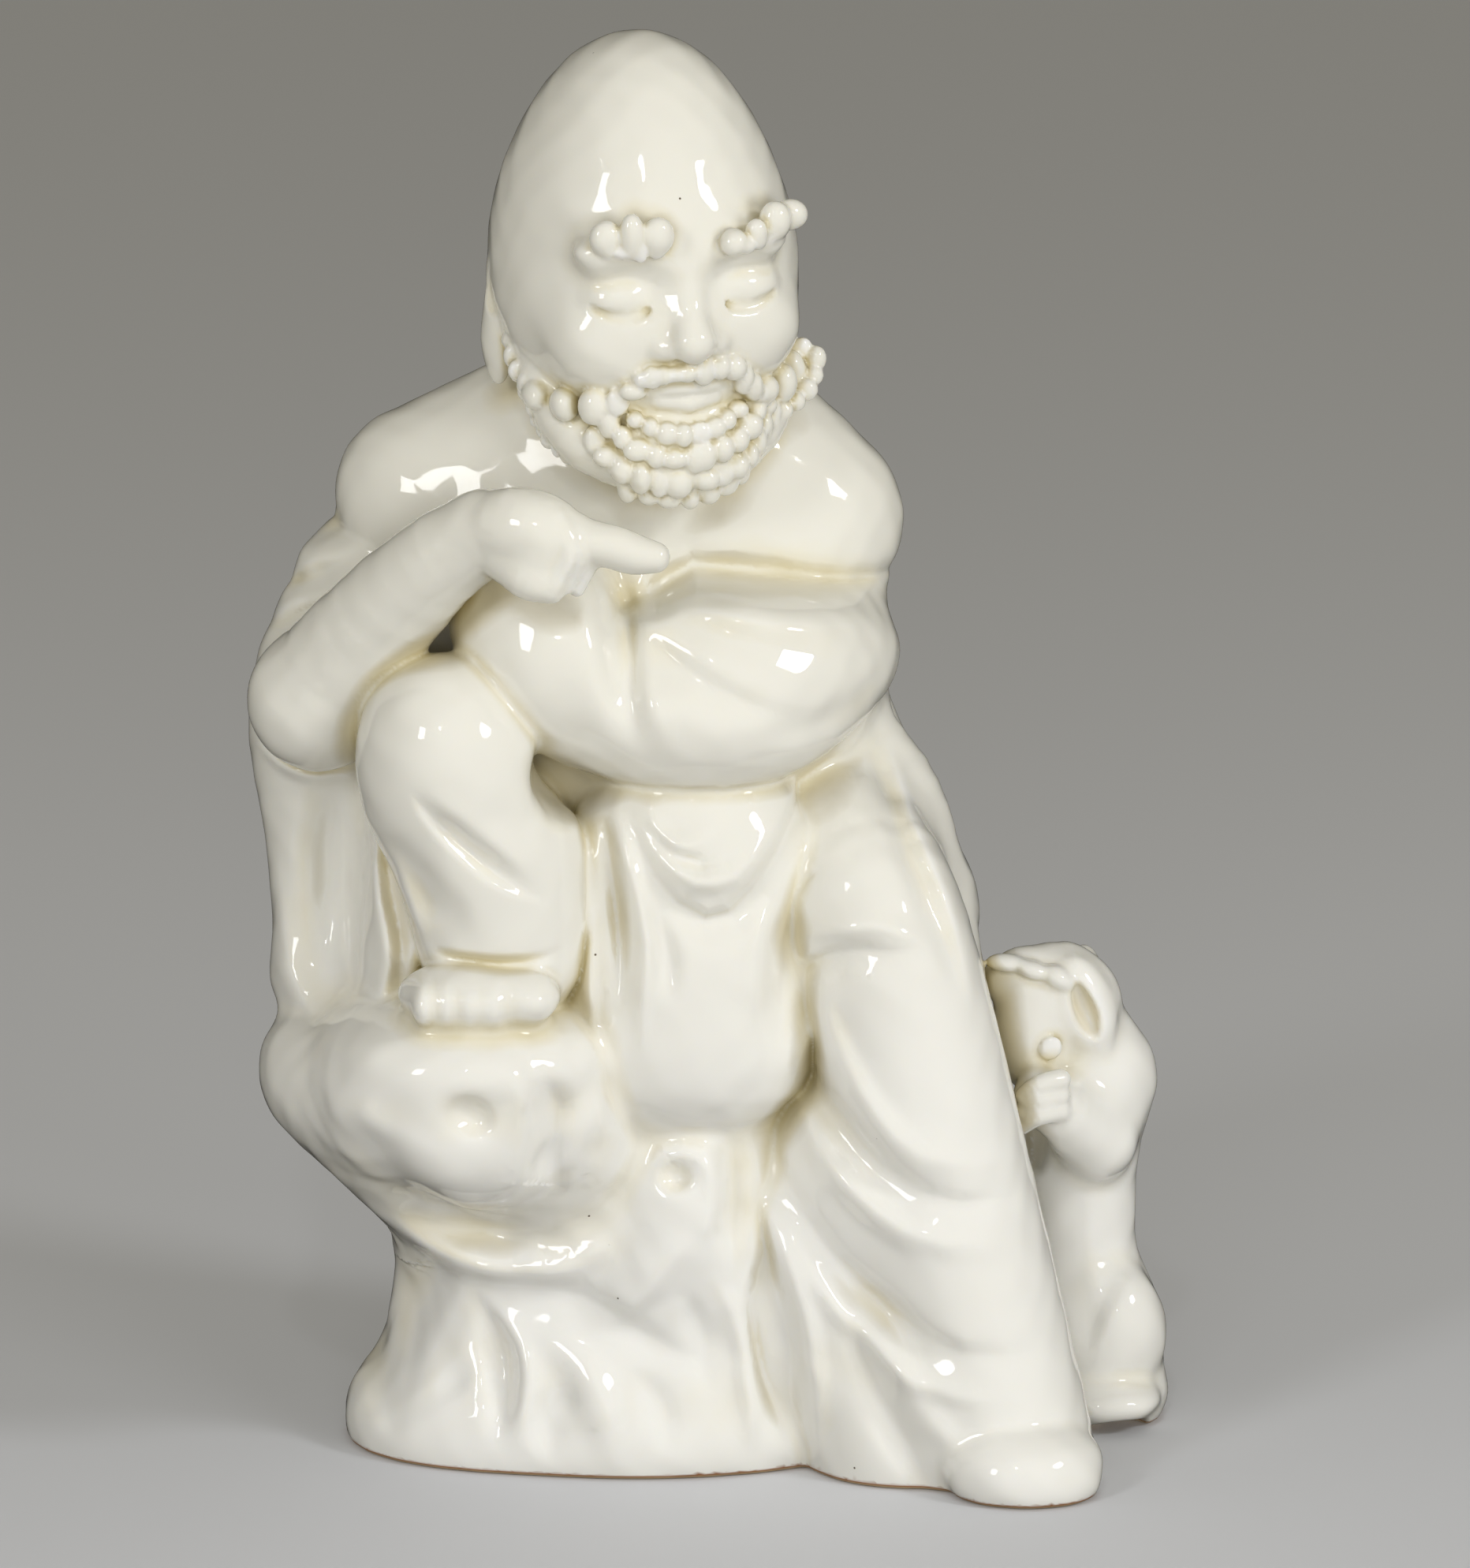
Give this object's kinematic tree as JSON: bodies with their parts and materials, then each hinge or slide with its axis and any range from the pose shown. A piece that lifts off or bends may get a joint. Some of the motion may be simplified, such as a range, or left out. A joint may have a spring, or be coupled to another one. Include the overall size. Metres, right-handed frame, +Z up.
{
  "type": "porcelain figure",
  "caption": "White glazed porcelain figure of a bald, bearded seated man leaning on his raised knee on a hollow garden rock, with a cub rearing at his side.",
  "frame": {"origin": "middle of the bounding box in the plane that the foot rim stands on", "axes": "+Z up, the figure faces -Y, and +X is on the viewer's right"},
  "size_m": [0.1416, 0.0826, 0.2175],
  "materials": {
    "porcelain": "clear glossy glaze over a cream white body, bare at the foot rim"
  },
  "bodies": {
    "root": {"porcelain_figure": "porcelain"}
  },
  "joints": []
}
